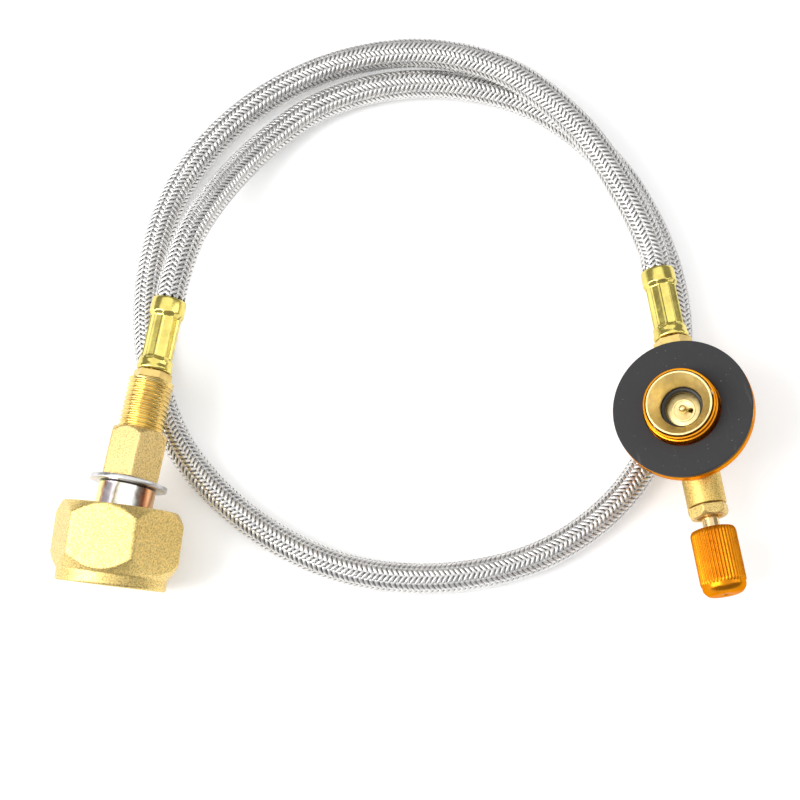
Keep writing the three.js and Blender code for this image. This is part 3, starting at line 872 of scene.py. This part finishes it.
def gland_column(turn):
    reach = hexagon(turn + gland_turn, gland_flats, 0.25)
    cut = (reach - gland_facing) * chamfer
    return eased(
        [
            (2.5, -21.5),
            (2.5, -25.8),
            (3.2, -25.8),
            (3.2, -26.7),
            (gland_facing, -26.7),
            (reach, -26.7 + cut),
            (reach, -23.9),
            (3.7, -23.9),
            (3.7, -21.5),
        ],
        0.12,
    )


gland_brass = blasted_brass("gland_brass", (0.82, 0.60, 0.22))
gland = turned("gland", gland_column, gland_brass, valve_place, 120)
put(gland, "sanded_brass", "gland_nut")


def pale_plastic():
    material, shader = new_material("packing_plastic")
    cloud = noise(material, 500, 3)
    feed(
        material,
        shader,
        Base_Color=colors_along(
            material, cloud, [(0.3, (0.7, 0.69, 0.64)), (0.7, (0.82, 0.8, 0.76))]
        ),
        Roughness=range_of(material, cloud, 0.5, 0.62),
        Normal=bump(material, noise(material, 2500), 0.15, 0.03),
    )
    return material


packing = pale_plastic()
dress("gland_packing", packing)
dress("thrust_ring", packing)

# ---------------------------------------------------------------- needle stem
# A turned brass rod with a thread, a groove for its o-ring and a fine cone at the tip. It is
# screwed in and out by the knob pressed on its end.

stem_line = eased(
    [
        (0, -37.0),
        (2.2, -37.0),
        (2.2, -18.1),
        (2.9, -18.1),
        (2.9, -15.3),
        (1.9, -15.3),
        (1.9, -14.0),
        (2.9, -14.0),
        (2.9, -13.3),
        (1.3, -13.3),
        (0.3, -10.3),
        (0, -10.3),
    ],
    0.1,
    closed=False,
)
stem_brass = bright_brass("stem_brass", (0.86, 0.66, 0.34), roughness=0.12, marks=0.006)
stem = turned("stem", lambda turn: stem_line, stem_brass, valve_place, 64, body="needle_and_knob")
put(stem, "bright_brass", "needle_stem")
dress("stem_oring", soft_black)

# ---------------------------------------------------------------- knob
# Turned and knurled aluminium, anodised gold, pressed on the stem. The flutes stop short of
# its outer end, which is left smooth and domed.

flutes, flute_depth = 40, 0.3


def knob_column(turn):
    share = turn * flutes / (2 * math.pi) % 1
    rise = min(1.0, max(0.0, (abs(2 * share - 1) - 0.1) / 0.6))
    flute = flute_depth * (1 - rise)
    return [
        (2.5, -37.3),
        (2.5, -30.1),
        (2.8, -29.8),
        (4.9, -29.8),
        (5.35 - 0.3 * flute, -29.95),
        (5.66 - 0.8 * flute, -30.4),
        (5.8 - flute, -31.1),
        (5.8 - flute, -37.0),
        (5.8 - flute, -43.0),
        (5.74 - 0.6 * flute, -43.6),
        (5.55, -43.9),
        (5.5, -44.2),
        (5.5, -44.7),
        (5.35, -45.2),
        (4.95, -45.8),
        (4.4, -46.35),
        (3.9, -46.56),
        (2.2, -46.6),
        (0.6, -46.6),
        (0.6, -37.3),
    ]


knob_gold = gold_anodised("knob_gold", False, (0.68, 0.24, 0.010))
grip = turned("knob_grip", knob_column, knob_gold, valve_place, flutes * 8, body="needle_and_knob")
put(grip, "gold_anodised", "knob")

# ---------------------------------------------------------------- threaded adapter
# Milled from hexagon brass bar: a blasted hexagon for the spanner, then a bright screw thread
# towards the hose and a spigot that is pressed through the washer into the nipple.

adapter_brass = blasted_brass("adapter_brass", (0.84, 0.62, 0.26))
adapter_flats, adapter_facing, adapter_turn = 14, 6.85, math.radians(-17.5)


def adapter_column(turn):
    reach = hexagon(turn + adapter_turn, adapter_flats, 0.5)
    cut = (reach - adapter_facing) * chamfer
    return eased(
        [
            (3.4, 0.9),
            (reach, 0.9),
            (reach, 13.7 - cut),
            (adapter_facing, 13.7),
            (5.6, 13.7),
            (5.3, 14.2),
            (3.4, 14.2),
        ],
        0.28,
    )


adapter = turned("adapter_hexagon", adapter_column, adapter_brass, fitting_place, 180)
put(adapter, "sanded_brass", "threaded_adapter")
thread_brass = bright_brass("thread_brass", (0.90, 0.68, 0.24), roughness=0.16, marks=0.006)
adapter_thread = thread(5.9, 0.48, 1.2, 14.0, 26.9, steps=12)


def adapter_thread_column(turn):
    return [(3.4, 13.9), (5.2, 13.9)] + adapter_thread(turn) + [(5.4, 27.2), (3.4, 27.2)]


threads = turned("adapter_thread", adapter_thread_column, thread_brass, fitting_place, 128)
put(threads, "bright_brass")

# ---------------------------------------------------------------- clamped washer
# A stamped steel washer, zinc plated, held between the adapter and the nipple.

washer_line = eased([(5.1, 0.6), (9.9, 0.6), (9.9, -0.6), (5.1, -0.6)], 0.22)
washer = turned("washer", lambda turn: washer_line, washer_zinc, fitting_place, 144)
put(washer, "zinc_plate", "flat_washer")

# ---------------------------------------------------------------- nipple and its gasket
# A plated steel tube. Its flange, inside the nut, is what the nut pulls against the cylinder's
# outlet, with a rubber gasket let into its face.

nipple_line = eased(
    [
        (5.1, -0.9),
        (7.3, -0.9),
        (7.3, -12.5),
        (9.6, -12.5),
        (9.6, -14.5),
        (7.3, -14.5),
        (7.3, -13.4),
        (3.0, -13.4),
        (3.0, -6.9),
        (5.1, -6.9),
    ],
    0.15,
)
tube = turned("nipple_tube", lambda turn: nipple_line, zinc_plate("nipple_zinc_painted_bands"), fitting_place, 120)
put(tube, "zinc_plate", "nipple")
dress("nipple_gasket", soft_black)

# ---------------------------------------------------------------- union nut
# A forged brass hexagon, blasted all over, with a round collar at its open end and a left-hand
# thread inside. It hangs loose on the nipple, over a ring of plastic that it turns on.

nut_flats, nut_facing = 29, 14.35
nut_thread = thread(10.3, 0.9, 1.814, -13.8, 0.2, hand=-1, inside=True, steps=7)


def nut_column(turn):
    reach = hexagon(turn, nut_flats, 0.9)
    cut = (reach - nut_facing) * chamfer
    outside = eased(
        [
            (8.9, 1.9),
            (8.9, 5.0),
            (9.3, 5.4),
            (nut_facing, 5.4),
            (reach, 5.4 - cut),
            (reach, -11.0 + cut),
            (14.3, -11.05),
            (13.9, -11.5),
            (13.9, -14.3),
            (13.5, -14.6),
            (11.3, -14.6),
            (10.5, -13.9),
        ],
        0.4,
        closed=False,
    )
    return outside + nut_thread(turn) + [(10.4, 1.9)]


nut_brass = blasted_brass("nut_brass", (0.80, 0.60, 0.22), 2600)
nut = turned("cylinder_nut", nut_column, nut_brass, nut_place, 240, body="nut")
put(nut, "sanded_brass", "union_nut")
